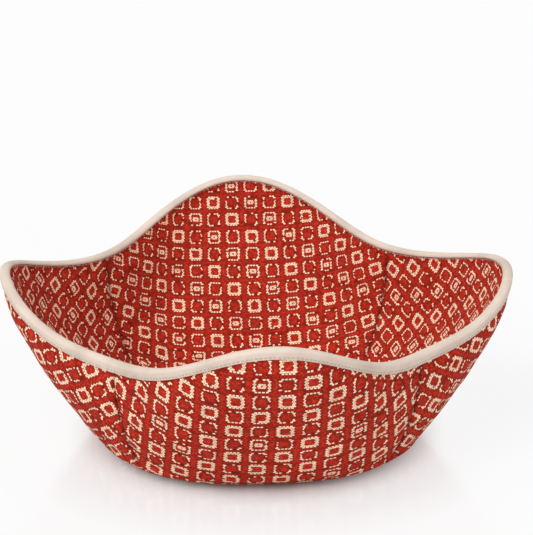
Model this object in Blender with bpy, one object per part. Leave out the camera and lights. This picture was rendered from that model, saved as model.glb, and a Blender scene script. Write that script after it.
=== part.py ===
"""A padded cloth cozy for a hot soup bowl, sewn from two quilted squares.

The outer cover and the lining are squares of printed cotton, each backed with wadding and shaped
by four darts. The darts pull the middles of the sides in, so the corners stand up as four rounded
petals. A woven tape binds the edge all the way round, and a line of stitches holds it.

Every layer is an offset of one surface, the cozy's outside. That surface is given by its
meridians: a flat base, a rounded base edge and a wall. There is one meridian for the middle of a
petal and one for a dart seam, and every other azimuth blends the two.
The origin is the centre of the underside. Petals point along X and Y, seams lie between them.
"""

import math

import bmesh
import bpy
import numpy as np

# Rim, measured over the binding
TIP_RADIUS = 0.1098
VALLEY_RADIUS = 0.0922
FRONT_TIP_HEIGHT = 0.0815
RIGHT_TIP_HEIGHT = 0.0735
BACK_TIP_HEIGHT = 0.0790
LEFT_TIP_HEIGHT = 0.0770
VALLEY_HEIGHT = 0.0597

# Base, where the wall would meet the table if the edge were sharp
BASE_RADIUS_PETAL = 0.0647
BASE_RADIUS_SEAM = 0.0687
BASE_EDGE_ROUNDING = 0.0218

# Slope of the wall above the table, in degrees, at the base and at the rim
PETAL_FOOT_SLOPE = 52.0
PETAL_TIP_SLOPE = 88.0
SEAM_FOOT_SLOPE = 48.0
SEAM_TOP_SLOPE = 80.0

# How far each end's slope carries into the wall, as a share of its straight length
FOOT_SLOPE_REACH = 0.53
TOP_SLOPE_REACH = 0.19

# How the rim passes from valley to tip: sharper tips, fuller flanks
TIP_SHARPNESS = 0.055
FLANK_FULLNESS = 0.035

# Layers of the wall
CLOTH_THICKNESS = 0.0006
WADDING_LOFT = 0.0012
WADDING_LOFT_AT_SEAM = 0.0006
WADDING_LOFT_AT_RIM = 0.00025
SEAM_PINCH_WIDTH = 0.0070
RIM_SQUEEZE_LENGTH = 0.0070
LAYER_GAP = 0.0003

# Binding tape, measured down from the top of the rim
TAPE_THICKNESS = 0.0005
BINDING_ROUNDING = 0.0016
BINDING_OUTSIDE_WIDTH = 0.0049
BINDING_INSIDE_WIDTH = 0.0022
STITCH_LINE_TO_TAPE_EDGE = 0.0010
THREAD_RADIUS = 0.00022

# Fineness of the meshes
STEPS_SEAM_TO_TIP = 7
STEP_CROWDING = 1.15
WALL_STEPS = 3
ROUNDING_STEPS = 3
BINDING_ROUNDING_STEPS = 5
THREAD_SIDES = 4
MERIDIAN_SAMPLES = 240
SAMPLE_CLEARANCE = 0.0002
NORMAL_REACH = 0.0006
NORMAL_TURN = 0.002
SHARP_EDGE_ANGLE = 40.0

# Colours, as linear RGBA, and roughness
PRINT_RED = (0.42, 0.035, 0.02, 1.0)
LINING_RED = (0.36, 0.030, 0.018, 1.0)
WADDING_WHITE = (0.80, 0.78, 0.74, 1.0)
TAPE_CREAM = (0.78, 0.68, 0.57, 1.0)
THREAD_TAN = (0.50, 0.41, 0.31, 1.0)
CLOTH_ROUGHNESS = 0.9
THREAD_ROUGHNESS = 0.7

QUARTER = math.pi / 2
EIGHTH = math.pi / 4
FRONT_AZIMUTH = -QUARTER


def clear_scene():
    """Remove whatever objects the scene holds."""
    for item in list(bpy.data.objects):
        bpy.data.objects.remove(item, do_unlink=True)


def bezier(start, start_handle, end_handle, end, share):
    """Points of a cubic curve at the given shares of its parameter, as rows of (radius, height)."""
    t = share[:, None]
    near = (1 - t) ** 3 * start + 3 * (1 - t) ** 2 * t * start_handle
    far = 3 * (1 - t) * t ** 2 * end_handle + t ** 3 * end
    return near + far


def wall_meridian(foot_radius, foot_slope, top_radius, top_height, top_slope):
    """The wall from its sharp foot on the table to the rim, as rows of (radius, height)."""
    foot = np.array([foot_radius, 0.0])
    top = np.array([top_radius, top_height])
    reach = np.linalg.norm(top - foot)
    foot_handle = FOOT_SLOPE_REACH * reach
    top_handle = TOP_SLOPE_REACH * reach
    slope = math.radians(foot_slope)
    lower = foot + foot_handle * np.array([math.cos(slope), math.sin(slope)])
    slope = math.radians(top_slope)
    upper = top - top_handle * np.array([math.cos(slope), math.sin(slope)])
    return bezier(foot, lower, upper, top, np.linspace(0.0, 1.0, MERIDIAN_SAMPLES))


def tip_height(azimuth):
    """Height of the petal that the azimuth lies in."""
    heights = (FRONT_TIP_HEIGHT, RIGHT_TIP_HEIGHT, BACK_TIP_HEIGHT, LEFT_TIP_HEIGHT)
    petal = round((azimuth - FRONT_AZIMUTH) / QUARTER) % len(heights)
    return heights[petal]


def petal_share(azimuth, sharpness):
    """0 on a dart seam and 1 in the middle of a petal; sharpness moves the flanks towards 0."""
    return (1 + math.cos(4 * azimuth)) / 2 + sharpness * (math.cos(8 * azimuth) - 1)


def blended_wall(azimuth):
    """The wall's meridian at an azimuth, between the seam's and the petal's."""
    petal = wall_meridian(
        BASE_RADIUS_PETAL, PETAL_FOOT_SLOPE, TIP_RADIUS, tip_height(azimuth), PETAL_TIP_SLOPE
    )
    seam = wall_meridian(
        BASE_RADIUS_SEAM, SEAM_FOOT_SLOPE, VALLEY_RADIUS, VALLEY_HEIGHT, SEAM_TOP_SLOPE
    )
    radius_share = petal_share(azimuth, -FLANK_FULLNESS)
    height_share = petal_share(azimuth, TIP_SHARPNESS)
    radius = seam[:, 0] + (petal[:, 0] - seam[:, 0]) * radius_share
    height = seam[:, 1] + (petal[:, 1] - seam[:, 1]) * height_share
    return np.column_stack([radius, height])


def round_base_edge(wall):
    """Replace the wall's sharp foot by an arc that leaves the flat base and meets the wall.

    Returns the arc's points, from the flat base up, and the wall's points above the arc.
    """
    direction = wall[1] - wall[0]
    slope = math.atan2(direction[1], direction[0])
    tangent_length = BASE_EDGE_ROUNDING * math.tan(slope / 2)
    centre = np.array([wall[0, 0] - tangent_length, BASE_EDGE_ROUNDING])
    turn = np.linspace(0.0, slope, ROUNDING_STEPS + 1)
    arc = centre + BASE_EDGE_ROUNDING * np.column_stack([np.sin(turn), -np.cos(turn)])
    climbed = np.linalg.norm(wall - wall[0], axis=1)
    return arc, wall[climbed > tangent_length + SAMPLE_CLEARANCE]


class Meridian:
    """The outside of the cozy at one azimuth, read by the distance down from the rim."""

    def __init__(self, azimuth):
        self.azimuth = azimuth
        arc, upper_wall = round_base_edge(blended_wall(azimuth))
        line = np.vstack([arc, upper_wall])[::-1]
        steps = np.linalg.norm(np.diff(line, axis=0), axis=1)
        self.down = np.concatenate([[0.0], np.cumsum(steps)])
        self.line = line
        self.arc_down = self.down[-len(arc):][::-1]

    def at(self, down):
        """Point in space on the outside, a distance down from the rim along the cloth."""
        radius = np.interp(down, self.down, self.line[:, 0])
        height = np.interp(down, self.down, self.line[:, 1])
        return np.array(
            [radius * math.cos(self.azimuth), radius * math.sin(self.azimuth), height]
        )


def step_azimuths():
    """Azimuths of the mesh's meridians, crowded towards the four dart seams."""
    offsets = [
        EIGHTH * (step / STEPS_SEAM_TO_TIP) ** STEP_CROWDING for step in range(STEPS_SEAM_TO_TIP + 1)
    ]
    azimuths = []
    for quarter in range(4):
        seam = EIGHTH + quarter * QUARTER
        azimuths += [seam - offset for offset in reversed(offsets[1:])]
        azimuths += [seam + offset for offset in offsets[:-1]]
    return azimuths


def smooth_step(share):
    """0 below 0, 1 above 1, and smooth between."""
    share = min(max(share, 0.0), 1.0)
    return share * share * (3 - 2 * share)


def seam_pinch(azimuth, radius):
    """1 on a dart seam, falling to 0 away from it along the ring of that radius."""
    from_seam = azimuth % QUARTER - EIGHTH
    across = radius * from_seam / SEAM_PINCH_WIDTH
    return math.exp(-across * across)


class Layers:
    """Depths of the wall's faces below the outside, at one place on the cozy."""

    half_wall = CLOTH_THICKNESS + 1.5 * LAYER_GAP + WADDING_LOFT
    half_stack = CLOTH_THICKNESS + 1.5 * LAYER_GAP + WADDING_LOFT_AT_RIM
    half_binding = half_stack + LAYER_GAP + TAPE_THICKNESS

    def __init__(self, loft):
        from_middle = LAYER_GAP / 2
        self.wadding_in = from_middle
        self.wadding_out = self.wadding_in + loft
        self.cloth_in = self.wadding_out + LAYER_GAP
        self.cloth_out = self.cloth_in + CLOTH_THICKNESS

    def depth(self, face, side):
        """Depth of a face; side is -1 on the outer half of the wall and 1 on the lining's."""
        return self.half_wall + side * getattr(self, face)


def wadding_loft(azimuth, radius, down, arc_top_down):
    """Thickness of one wadding: full in the wall, pinched at the seams, squeezed at the rim."""
    fade = smooth_step((arc_top_down - down) / RIM_SQUEEZE_LENGTH)
    pinch = seam_pinch(azimuth, radius) * fade
    wall_loft = WADDING_LOFT + (WADDING_LOFT_AT_SEAM - WADDING_LOFT) * pinch
    squeeze = smooth_step((down - BINDING_OUTSIDE_WIDTH) / RIM_SQUEEZE_LENGTH)
    return WADDING_LOFT_AT_RIM + (wall_loft - WADDING_LOFT_AT_RIM) * squeeze


def stack_top_down():
    """How far below the rim's top the cloths end, so that the binding's fold clears their edges."""
    inner_half = Layers.half_stack + LAYER_GAP
    inner_rounding = BINDING_ROUNDING - TAPE_THICKNESS
    drop = 1 - math.sqrt(1 - (Layers.half_stack / inner_half) ** 2)
    return TAPE_THICKNESS + inner_rounding * drop + LAYER_GAP


def station_downs(meridian):
    """Distances down from the rim at which every layer has a ring, from the rim to the flat base."""
    under_binding = BINDING_OUTSIDE_WIDTH
    full_loft = under_binding + RIM_SQUEEZE_LENGTH
    arc_top = meridian.arc_down[-1]
    wall = [
        full_loft + (arc_top - full_loft) * step / WALL_STEPS for step in range(WALL_STEPS)
    ]
    arc = list(meridian.arc_down[::-1])
    return [stack_top_down(), under_binding] + wall + arc


class Surface:
    """The outside of the cozy with its normals, on every meridian of the mesh."""

    def __init__(self):
        self.meridians = [Meridian(azimuth) for azimuth in step_azimuths()]
        self.neighbours = [
            (Meridian(middle.azimuth - NORMAL_TURN), Meridian(middle.azimuth + NORMAL_TURN))
            for middle in self.meridians
        ]

    def normal(self, index, down):
        """Outward normal, from the slopes along the meridian and along the ring."""
        meridian = self.meridians[index]
        before, after = self.neighbours[index]
        low = min(down + NORMAL_REACH, meridian.down[-1])
        high = max(down - NORMAL_REACH, 0.0)
        along_meridian = meridian.at(high) - meridian.at(low)
        along_ring = after.at(down) - before.at(down)
        across = np.cross(along_ring, along_meridian)
        return across / np.linalg.norm(across)

    def offset(self, index, down, depth):
        """Point at a depth under the outside; a negative depth lies out of it."""
        return self.meridians[index].at(down) - depth * self.normal(index, down)

    def loft(self, index, down):
        """Thickness of one wadding at a place."""
        meridian = self.meridians[index]
        radius = np.interp(down, meridian.down, meridian.line[:, 0])
        return wadding_loft(meridian.azimuth, radius, down, meridian.arc_down[-1])


def face_rings(surface, face, side):
    """Rings of one face of a layer, from the rim down to the edge of the flat base."""
    columns = []
    for index, meridian in enumerate(surface.meridians):
        column = []
        for down in station_downs(meridian):
            layers = Layers(surface.loft(index, down))
            column.append(surface.offset(index, down, layers.depth(face, side)))
        flat_height = Layers(WADDING_LOFT).depth(face, side)
        column[-1][2] = flat_height
        columns.append(column)
    return [list(ring) for ring in zip(*columns)]


def add_rings(mesh, rings):
    """Vertices of each ring, and quads between each ring and the next."""
    vertex_rings = [[mesh.verts.new(point) for point in ring] for ring in rings]
    for upper, lower in zip(vertex_rings, vertex_rings[1:]):
        bridge(mesh, upper, lower)
    return vertex_rings


def bridge(mesh, ring, next_ring):
    """Quads between two rings of as many vertices."""
    count = len(ring)
    for step in range(count):
        following = (step + 1) % count
        mesh.faces.new((ring[step], next_ring[step], next_ring[following], ring[following]))


def new_material(name, colour, roughness):
    """A plain material of one colour."""
    material = bpy.data.materials.new(name)
    material.use_nodes = True
    shader = material.node_tree.nodes["Principled BSDF"]
    shader.inputs["Base Color"].default_value = colour
    shader.inputs["Roughness"].default_value = roughness
    shader.inputs["Metallic"].default_value = 0.0
    material.diffuse_color = colour
    return material


def finish_object(name, mesh, material):
    """Turn a closed bmesh into a smooth-shaded object whose faces point out."""
    bmesh.ops.recalc_face_normals(mesh, faces=mesh.faces)
    data = bpy.data.meshes.new(name)
    mesh.to_mesh(data)
    mesh.free()
    data.materials.append(material)
    data.shade_smooth()
    data.set_sharp_from_angle(angle=math.radians(SHARP_EDGE_ANGLE))
    item = bpy.data.objects.new(name, data)
    bpy.context.scene.collection.objects.link(item)
    return item


def make_layer(name, surface, outer_face, inner_face, side, material):
    """One layer of the wall: a bowl-shaped sheet with its own thickness, closed at its rim."""
    mesh = bmesh.new()
    edges = []
    for face in (outer_face, inner_face):
        rings = add_rings(mesh, face_rings(surface, face, side))
        flat = rings[-1]
        centre = mesh.verts.new((0.0, 0.0, flat[0].co.z))
        for step in range(len(flat)):
            mesh.faces.new((flat[step], centre, flat[(step + 1) % len(flat)]))
        edges.append(rings[0])
    bridge(mesh, edges[0], edges[1])
    return finish_object(name, mesh, material)


def binding_section():
    """Outline of the folded tape, as (distance down, offset from the wall's middle) pairs.

    The outside is a half ellipse over the rim with a long leg outside and a short one inside.
    The inside of the fold is a smaller half ellipse that clears the cloths' edges.
    """
    outer_half = Layers.half_binding
    inner_half = outer_half - TAPE_THICKNESS
    inner_rounding = BINDING_ROUNDING - TAPE_THICKNESS
    turns = [math.pi * step / BINDING_ROUNDING_STEPS for step in range(BINDING_ROUNDING_STEPS + 1)]
    outline = [(BINDING_OUTSIDE_WIDTH, -outer_half)]
    for turn in turns:
        outline.append((BINDING_ROUNDING * (1 - math.sin(turn)), -outer_half * math.cos(turn)))
    outline.append((BINDING_INSIDE_WIDTH, outer_half))
    outline.append((BINDING_INSIDE_WIDTH, inner_half))
    for turn in reversed(turns):
        drop = TAPE_THICKNESS + inner_rounding * (1 - math.sin(turn))
        outline.append((drop, -inner_half * math.cos(turn)))
    outline.append((BINDING_OUTSIDE_WIDTH, -inner_half))
    return outline


def thread_section(down, offset):
    """Outline of a round thread centred at a distance down and an offset from the wall's middle."""
    outline = []
    for side in range(THREAD_SIDES):
        turn = 2 * math.pi * side / THREAD_SIDES
        outline.append(
            (down + THREAD_RADIUS * math.sin(turn), offset + THREAD_RADIUS * math.cos(turn))
        )
    return outline


def make_edge_loop(name, surface, section, material):
    """Sweep a closed outline once round the rim."""
    mesh = bmesh.new()
    rings = []
    for down, offset in section:
        depth = Layers.half_wall + offset
        rings.append(
            [surface.offset(index, down, depth) for index in range(len(surface.meridians))]
        )
    vertex_rings = add_rings(mesh, rings)
    bridge(mesh, vertex_rings[-1], vertex_rings[0])
    return finish_object(name, mesh, material)


def make_cloths(surface):
    """The printed cover, the lining and the two waddings between them."""
    cover = new_material("printed_cotton", PRINT_RED, CLOTH_ROUGHNESS)
    lining = new_material("lining_cotton", LINING_RED, CLOTH_ROUGHNESS)
    wadding = new_material("cotton_wadding", WADDING_WHITE, CLOTH_ROUGHNESS)
    make_layer("outer_cover", surface, "cloth_out", "cloth_in", -1, cover)
    make_layer("outer_wadding", surface, "wadding_out", "wadding_in", -1, wadding)
    make_layer("lining_wadding", surface, "wadding_in", "wadding_out", 1, wadding)
    make_layer("lining", surface, "cloth_in", "cloth_out", 1, lining)


def make_binding(surface):
    """The tape folded over the rim, and the two threads of the seam that holds it."""
    tape = new_material("woven_tape", TAPE_CREAM, CLOTH_ROUGHNESS)
    thread = new_material("sewing_thread", THREAD_TAN, THREAD_ROUGHNESS)
    make_edge_loop("edge_binding", surface, binding_section(), tape)

    outer_line = BINDING_OUTSIDE_WIDTH - STITCH_LINE_TO_TAPE_EDGE
    over_tape = Layers.half_binding + LAYER_GAP + THREAD_RADIUS
    section = thread_section(outer_line, -over_tape)
    make_edge_loop("binding_needle_thread", surface, section, thread)

    inner_line = BINDING_INSIDE_WIDTH + LAYER_GAP + THREAD_RADIUS
    over_lining = Layers.half_stack + LAYER_GAP + THREAD_RADIUS
    section = thread_section(inner_line, over_lining)
    make_edge_loop("binding_bobbin_thread", surface, section, thread)


clear_scene()
cozy_surface = Surface()
make_cloths(cozy_surface)
make_binding(cozy_surface)
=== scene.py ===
import math

import bpy
import numpy as np
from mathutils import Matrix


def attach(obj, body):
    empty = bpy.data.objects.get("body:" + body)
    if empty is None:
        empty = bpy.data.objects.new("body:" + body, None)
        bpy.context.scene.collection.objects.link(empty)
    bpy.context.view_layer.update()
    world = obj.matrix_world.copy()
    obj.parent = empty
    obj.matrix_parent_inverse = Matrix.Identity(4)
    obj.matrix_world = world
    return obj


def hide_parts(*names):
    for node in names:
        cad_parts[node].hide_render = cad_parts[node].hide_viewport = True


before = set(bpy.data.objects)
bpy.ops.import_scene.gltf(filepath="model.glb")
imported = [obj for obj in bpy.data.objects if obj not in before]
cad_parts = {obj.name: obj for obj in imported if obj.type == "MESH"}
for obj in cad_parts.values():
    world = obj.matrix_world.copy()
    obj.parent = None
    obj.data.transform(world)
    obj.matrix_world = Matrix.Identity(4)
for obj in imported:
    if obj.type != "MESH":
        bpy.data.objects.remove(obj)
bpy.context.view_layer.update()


# Camera
# It stands a little to the left of the front petal's middle and looks down on the far inside
# of the cozy, from far enough away that the near rim is hardly larger than the far one.

EYE_AZIMUTH = math.radians(4.1)
EYE_ELEVATION = math.radians(20.75)
EYE_DISTANCE = 1.778
AIM_RIGHT = 0.0041
AIM_UP = 0.0703
FOCAL_LENGTH = 275.9
SENSOR_SIDE = 36.0

eye_forward = np.array(
    [
        math.sin(EYE_AZIMUTH) * math.cos(EYE_ELEVATION),
        math.cos(EYE_AZIMUTH) * math.cos(EYE_ELEVATION),
        -math.sin(EYE_ELEVATION),
    ]
)
eye_right = np.array([math.cos(EYE_AZIMUTH), -math.sin(EYE_AZIMUTH), 0.0])
eye_up = np.cross(eye_right, eye_forward)
camera_data = bpy.data.cameras.new("camera")
camera_data.lens = FOCAL_LENGTH
camera_data.sensor_width = SENSOR_SIDE
camera_data.clip_start = 0.05
camera_data.clip_end = 20.0
camera = bpy.data.objects.new("camera", camera_data)
camera.location = AIM_RIGHT * eye_right + AIM_UP * eye_up - EYE_DISTANCE * eye_forward
camera.rotation_euler = (math.pi / 2 - EYE_ELEVATION, 0.0, -EYE_AZIMUTH)
bpy.context.scene.collection.objects.link(camera)
bpy.context.scene.camera = camera
bpy.context.scene.view_settings.view_transform = "Standard"


# Floor and light
# A white studio table under one large soft lamp from the upper front left, a weaker one from
# the right, and even light from all round. The table keeps the shadow where the cozy stands on it,
# and its polish shows a reflection that fades away from the cozy.

FLOOR_SIDE = 12.0
FLOOR_LEVEL = -0.0002
FLOOR_WHITE = (0.80, 0.80, 0.80, 1.0)
FLOOR_SELF_LIGHT = 0.86
SHADOW_REACH = (0.056, 0.084)
FLOOR_GLOSS_NEAR = 0.24
FLOOR_GLOSS_FAR = 0.03
GLOSS_REACH = (0.060, 0.118)
FLOOR_GLOSS_ROUGHNESS = 0.18
ROOM_LIGHT = 0.54
KEY_LIGHT = 1.95
KEY_SIZE = math.radians(42.0)
KEY_TURN = (math.radians(42.0), 0.0, math.radians(-46.0))
FILL_LIGHT = 0.50
FILL_SIZE = math.radians(60.0)
FILL_TURN = (math.radians(58.0), 0.0, math.radians(48.0))


def add_node(tree, kind, sockets=(), **settings):
    """A node with its settings; each named socket gets a value, or a link from another node."""
    node = tree.nodes.new(kind)
    for name, value in settings.items():
        setattr(node, name, value)
    for name, value in dict(sockets).items():
        if isinstance(value, bpy.types.NodeSocket):
            tree.links.new(value, node.inputs[name])
        else:
            node.inputs[name].default_value = value
    return node


def calculate(tree, operation, first, second=0.0, third=0.0, clamp=False):
    """The output of a Math node."""
    sockets = {0: first, 1: second, 2: third}
    return add_node(
        tree, "ShaderNodeMath", sockets, operation=operation, use_clamp=clamp
    ).outputs[0]


def white_where_seen(tree):
    """1 for rays from the camera, from glossy surfaces and through clear ones, otherwise 0."""
    path = add_node(tree, "ShaderNodeLightPath")
    seen = calculate(tree, "MAXIMUM", path.outputs["Is Camera Ray"], path.outputs["Is Glossy Ray"])
    return calculate(tree, "MAXIMUM", seen, path.outputs["Is Transmission Ray"])


def new_sun(name, strength, size, turn):
    """A lamp so far away that its light is the same all over the table."""
    data = bpy.data.lights.new(name, "SUN")
    data.energy = strength
    data.angle = size
    lamp = bpy.data.objects.new(name, data)
    lamp.rotation_euler = turn
    bpy.context.scene.collection.objects.link(lamp)


new_sun("key_lamp", KEY_LIGHT, KEY_SIZE, KEY_TURN)
new_sun("fill_lamp", FILL_LIGHT, FILL_SIZE, FILL_TURN)

room = bpy.data.worlds.new("room")
room.use_nodes = True
room_tree = room.node_tree
room_strength = calculate(
    room_tree, "MULTIPLY_ADD", white_where_seen(room_tree), 1.0 - ROOM_LIGHT, ROOM_LIGHT
)
room_shader = room_tree.nodes["Background"]
room_shader.inputs["Color"].default_value = (1.0, 1.0, 1.0, 1.0)
room_tree.links.new(room_strength, room_shader.inputs["Strength"])
bpy.context.scene.world = room

floor_material = bpy.data.materials.new("white_table")
floor_material.use_nodes = True
floor_tree = floor_material.node_tree
floor_tree.nodes.remove(floor_tree.nodes["Principled BSDF"])
floor_place = add_node(floor_tree, "ShaderNodeTexCoord").outputs["Object"]
floor_radius = add_node(
    floor_tree, "ShaderNodeVectorMath", {0: floor_place}, operation="LENGTH"
).outputs["Value"]
self_light = add_node(
    floor_tree,
    "ShaderNodeMapRange",
    {
        "Value": floor_radius,
        "From Min": SHADOW_REACH[0],
        "From Max": SHADOW_REACH[1],
        "To Max": FLOOR_SELF_LIGHT,
    },
    interpolation_type="SMOOTHSTEP",
).outputs[0]
gloss_share = add_node(
    floor_tree,
    "ShaderNodeMapRange",
    {
        "Value": floor_radius,
        "From Min": GLOSS_REACH[0],
        "From Max": GLOSS_REACH[1],
        "To Min": FLOOR_GLOSS_NEAR,
        "To Max": FLOOR_GLOSS_FAR,
    },
).outputs[0]
floor_matte = add_node(floor_tree, "ShaderNodeBsdfDiffuse", {"Color": FLOOR_WHITE})
floor_glow = add_node(
    floor_tree, "ShaderNodeEmission", {"Color": (1.0, 1.0, 1.0, 1.0), "Strength": 1.0}
)
floor_body = add_node(
    floor_tree,
    "ShaderNodeMixShader",
    {
        0: calculate(floor_tree, "MULTIPLY", white_where_seen(floor_tree), self_light),
        1: floor_matte.outputs[0],
        2: floor_glow.outputs[0],
    },
)
floor_gloss = add_node(
    floor_tree,
    "ShaderNodeBsdfAnisotropic",
    {"Color": (1.0, 1.0, 1.0, 1.0), "Roughness": FLOOR_GLOSS_ROUGHNESS},
)
floor_surface = add_node(
    floor_tree,
    "ShaderNodeMixShader",
    {0: gloss_share, 1: floor_body.outputs[0], 2: floor_gloss.outputs[0]},
)
floor_tree.links.new(
    floor_surface.outputs[0], floor_tree.nodes["Material Output"].inputs["Surface"]
)
half_side = FLOOR_SIDE / 2
floor_mesh = bpy.data.meshes.new("table_top")
floor_mesh.from_pydata(
    [
        (-half_side, -half_side, FLOOR_LEVEL),
        (half_side, -half_side, FLOOR_LEVEL),
        (half_side, half_side, FLOOR_LEVEL),
        (-half_side, half_side, FLOOR_LEVEL),
    ],
    [],
    [(0, 1, 2, 3)],
)
floor_mesh.materials.append(floor_material)
floor_piece = bpy.data.objects.new("table_top", floor_mesh)
bpy.context.scene.collection.objects.link(floor_piece)


# Outer cover
# A square of printed cotton, shaped by four darts so that its corners stand up as petals. It is
# quilted to the wadding behind it, drawn in along the darts, and squeezed flat under the binding.

TIP_RADIUS = 0.1098
VALLEY_RADIUS = 0.0922
TIP_HEIGHTS = np.array([0.0815, 0.0735, 0.0790, 0.0770])
VALLEY_HEIGHT = 0.0597
BASE_RADIUS_PETAL = 0.0647
BASE_RADIUS_SEAM = 0.0687
BASE_EDGE_ROUNDING = 0.0218
PETAL_SLOPES = np.radians([52.0, 88.0])
SEAM_SLOPES = np.radians([48.0, 80.0])
FOOT_SLOPE_REACH = 0.53
TOP_SLOPE_REACH = 0.19
TIP_SHARPNESS = 0.055
FLANK_FULLNESS = 0.035

CLOTH_THICKNESS = 0.0006
LAYER_GAP = 0.0003
WADDING_LOFT = 0.0012
WADDING_LOFT_AT_SEAM = 0.0006
WADDING_LOFT_AT_RIM = 0.00025
SEAM_PINCH_WIDTH = 0.0070
RIM_SQUEEZE_LENGTH = 0.0070
BINDING_OUTSIDE_WIDTH = 0.0049
HALF_WALL = CLOTH_THICKNESS + 1.5 * LAYER_GAP + WADDING_LOFT

SEAM_GROOVE_DEPTH = 0.00054
SEAM_GROOVE_WIDTH = 0.0009
SOFTNESS_FADE_START = 0.008
SOFTNESS_FADE_LENGTH = 0.012
# Painted shade along the dart seams' creases: its width, and where it fades out above the base.
FOLD_SHADE_WIDTH = 0.0009
FOLD_SHADE_FADE_START = 0.004
FOLD_SHADE_FADE_LENGTH = 0.008
PUCKER_DEPTH = 0.00022
PUCKER_LENGTH = 0.0078
PUCKER_REACH = 0.0075

RELAXED_COLUMNS = 16
RELAXED_RINGS = 46
RELAXED_FRAMES = 20
RELAXING_QUALITY = 6
CLOTH_EXCESS = 0.003
WADDING_PRESSURE = 1.0
CLOTH_STIFFNESS = 5.0
CLOTH_DAMPING = 25.0
AIR_DAMPING = 10.0
RIPPLE_DEPTH = 0.0004
RIPPLES_AROUND = 17
RIPPLE_LENGTH = 0.026
PUFF_LIMIT = 0.0006
SINK_LIMIT_OF_LOFT = 0.75

PETALS = 4
EIGHTH_TURN = math.pi / 4
FRONT_AZIMUTH = -math.pi / 2
COLUMN_CROWDING = 1.35


def wall_point(azimuth, share):
    """Radius and height of the wall at a share of its way from its sharp foot up to the rim.

    Each is a cubic curve through four points: foot, a point up the foot's slope, a point down
    the top's slope, and the top. The petal's curve and the seam's are blended by the azimuth:
    a cosine that is 1 in a petal's middle and 0 on a seam, with a small second cosine.
    """
    petal_number = np.round((azimuth - FRONT_AZIMUTH) / (2 * EIGHTH_TURN)).astype(int) % PETALS

    def curve(foot_radius, top_radius, top_height, slopes):
        reach = np.hypot(top_radius - foot_radius, top_height)
        foot_handle = FOOT_SLOPE_REACH * reach
        top_handle = TOP_SLOPE_REACH * reach
        radii = (
            foot_radius,
            foot_radius + foot_handle * np.cos(slopes[0]),
            top_radius - top_handle * np.cos(slopes[1]),
            top_radius,
        )
        heights = (
            0.0,
            foot_handle * np.sin(slopes[0]),
            top_height - top_handle * np.sin(slopes[1]),
            top_height,
        )
        weights = (
            (1 - share) ** 3,
            3 * (1 - share) ** 2 * share,
            3 * (1 - share) * share**2,
            share**3,
        )
        radius = sum(weight * value for weight, value in zip(weights, radii))
        height = sum(weight * value for weight, value in zip(weights, heights))
        return radius, height

    petal = curve(BASE_RADIUS_PETAL, TIP_RADIUS, TIP_HEIGHTS[petal_number], PETAL_SLOPES)
    seam = curve(BASE_RADIUS_SEAM, VALLEY_RADIUS, VALLEY_HEIGHT, SEAM_SLOPES)
    swing = (1 + np.cos(4 * azimuth)) / 2
    second = np.cos(8 * azimuth) - 1
    radius = seam[0] + (petal[0] - seam[0]) * (swing - FLANK_FULLNESS * second)
    height = seam[1] + (petal[1] - seam[1]) * (swing + TIP_SHARPNESS * second)
    return radius, height


def along_rows(known, values, wanted):
    """Row by row, the value at each wanted place, on straight lines between the known places."""
    shift = 10.0 * np.arange(len(known))[:, None]
    flat = np.interp((wanted + shift).ravel(), (known + shift).ravel(), values.ravel())
    return flat.reshape(wanted.shape)


class Outside:
    """The cozy's outside on many meridians, read by the distance down from the rim.

    Each meridian is the wall, an arc that is tangent to it and to the table, and the flat base as
    far as the middle. Distances are added up along it, from the rim down.
    """

    ARC_POINTS = 32
    WALL_POINTS = 200
    FOOT_STEP = 1 / 239

    def __init__(self, azimuth):
        self.azimuth = azimuth[:, None]
        foot_radius, _ = wall_point(self.azimuth, np.zeros((1, 1)))
        near_radius, near_height = wall_point(self.azimuth, np.full((1, 1), self.FOOT_STEP))
        slope = np.arctan2(near_height, near_radius - foot_radius)
        tangent = BASE_EDGE_ROUNDING * np.tan(slope / 2)
        turn = slope * np.linspace(1.0, 0.0, self.ARC_POINTS)
        arc_radius = foot_radius - tangent + BASE_EDGE_ROUNDING * np.sin(turn)
        arc_height = BASE_EDGE_ROUNDING * (1 - np.cos(turn))
        start = tangent / np.hypot(near_radius - foot_radius, near_height) * self.FOOT_STEP
        for _ in range(5):
            radius, height = wall_point(self.azimuth, start)
            start = start * tangent / np.hypot(radius - foot_radius, height)
        share = 1 + (start - 1) * np.linspace(0.0, 1.0, self.WALL_POINTS)
        radius, height = wall_point(self.azimuth, share[:, :-1])
        middle = np.zeros_like(self.azimuth)
        self.radius = np.hstack([radius, arc_radius, middle])
        self.height = np.hstack([height, arc_height, middle])
        steps = np.hypot(np.diff(self.radius, axis=1), np.diff(self.height, axis=1))
        self.down = np.hstack([middle, np.cumsum(steps, axis=1)])
        self.arc_top = self.down[:, -self.ARC_POINTS - 1, None]
        self.arc_end = self.down[:, -2, None]
        self.total = self.down[:, -1:]

    def place(self, down):
        """Points on the outside, with one row of distances for each meridian."""
        radius = along_rows(self.down, self.radius, down)
        height = along_rows(self.down, self.height, down)
        return np.stack(
            [radius * np.cos(self.azimuth), radius * np.sin(self.azimuth), height], axis=-1
        )


def unit(vectors):
    """Vectors of length 1 along the given ones."""
    return vectors / np.maximum(np.linalg.norm(vectors, axis=-1, keepdims=True), 1e-12)


def outside_with_normals(azimuth, down_of):
    """Points and outward normals of the outside, at the distances down that down_of gives."""
    turn, reach = 0.002, 0.0006
    middle, before, after = (Outside(azimuth + step) for step in (0.0, -turn, turn))
    down = down_of(middle)
    points = middle.place(down)
    along_ring = after.place(down) - before.place(down)
    higher = middle.place(np.maximum(down - reach, 0.0))
    lower = middle.place(np.minimum(down + reach, middle.total - 1e-6))
    normals = unit(np.cross(along_ring, higher - lower))
    flat = down >= middle.arc_end
    normals[flat] = (0.0, 0.0, -1.0)
    return middle, down, points, normals


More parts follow.
